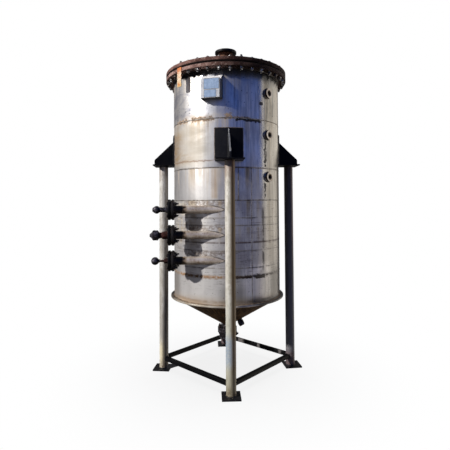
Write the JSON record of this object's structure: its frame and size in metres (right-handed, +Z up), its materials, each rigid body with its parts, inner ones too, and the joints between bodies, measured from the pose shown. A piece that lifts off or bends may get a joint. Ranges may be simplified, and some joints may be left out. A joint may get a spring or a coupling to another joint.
{
  "type": "vertical storage tank",
  "caption": "Upright stainless process tank on pipe legs, with a bolted flat cover, a cone bottom with an outlet valve, and side inlets that meet the shell at a tangent.",
  "frame": {"origin": "on the ground under the tank's vertical axis, midway between the four legs", "axes": "+Z up; the front leg is at -Y, the right leg at +X, and the three side inlets run out to -X beside the front of the shell"},
  "size_m": [1.4944, 1.473, 3.228],
  "materials": {
    "weathered_stainless": "dull, stained and streaked",
    "rusty_steel": "rusted",
    "black_paint": "satin black paint, worn",
    "leg_galvanised": "weathered pale grey",
    "dark_steel": "dark and dull",
    "stained_cone_steel": "brown stained",
    "gasket_rubber": "matte",
    "plate_aluminium": "satin"
  },
  "bodies": {
    "root": {"shell_top_course": "weathered_stainless", "shell_upper_course": "weathered_stainless", "shell_middle_course": "weathered_stainless", "shell_inlet_course": "weathered_stainless", "body_flange": "rusty_steel", "cover_gasket": "gasket_rubber", "cover_plate": "rusty_steel", "top_nozzle_neck": "rusty_steel", "top_nozzle_flange": "black_paint", "bottom_ring": "weathered_stainless", "bottom_cone": "stained_cone_steel", "cone_drain_stub": "dark_steel", "outlet_neck": "black_paint", "outlet_valve": "dark_steel", "bracket_front": "black_paint", "bracket_right": "black_paint", "bracket_back": "black_paint", "bracket_left": "black_paint", "leg_front": "leg_galvanised", "leg_right": "dark_steel", "leg_back": "dark_steel", "leg_left": "leg_galvanised", "foot_front": "black_paint", "foot_right": "black_paint", "foot_back": "black_paint", "foot_left": "black_paint", "brace_front_right": "black_paint", "brace_back_right": "black_paint", "brace_back_left": "black_paint", "brace_front_left": "black_paint", "knee_bar_left": "black_paint", "inlet_pipe_upper": "weathered_stainless", "inlet_pipe_middle": "weathered_stainless", "inlet_pipe_lower": "weathered_stainless", "inlet_end_flange_upper": "dark_steel", "inlet_end_flange_middle": "dark_steel", "inlet_end_flange_lower": "dark_steel", "inlet_fitting_upper": "dark_steel", "inlet_fitting_middle": "dark_steel", "inlet_fitting_lower": "dark_steel", "coupling_upper": "weathered_stainless", "coupling_middle": "weathered_stainless", "coupling_lower": "weathered_stainless", "nameplate_bracket": "plate_aluminium", "nameplate_box": "plate_aluminium", "hanging_strap": "rusty_steel"}
  },
  "joints": []
}
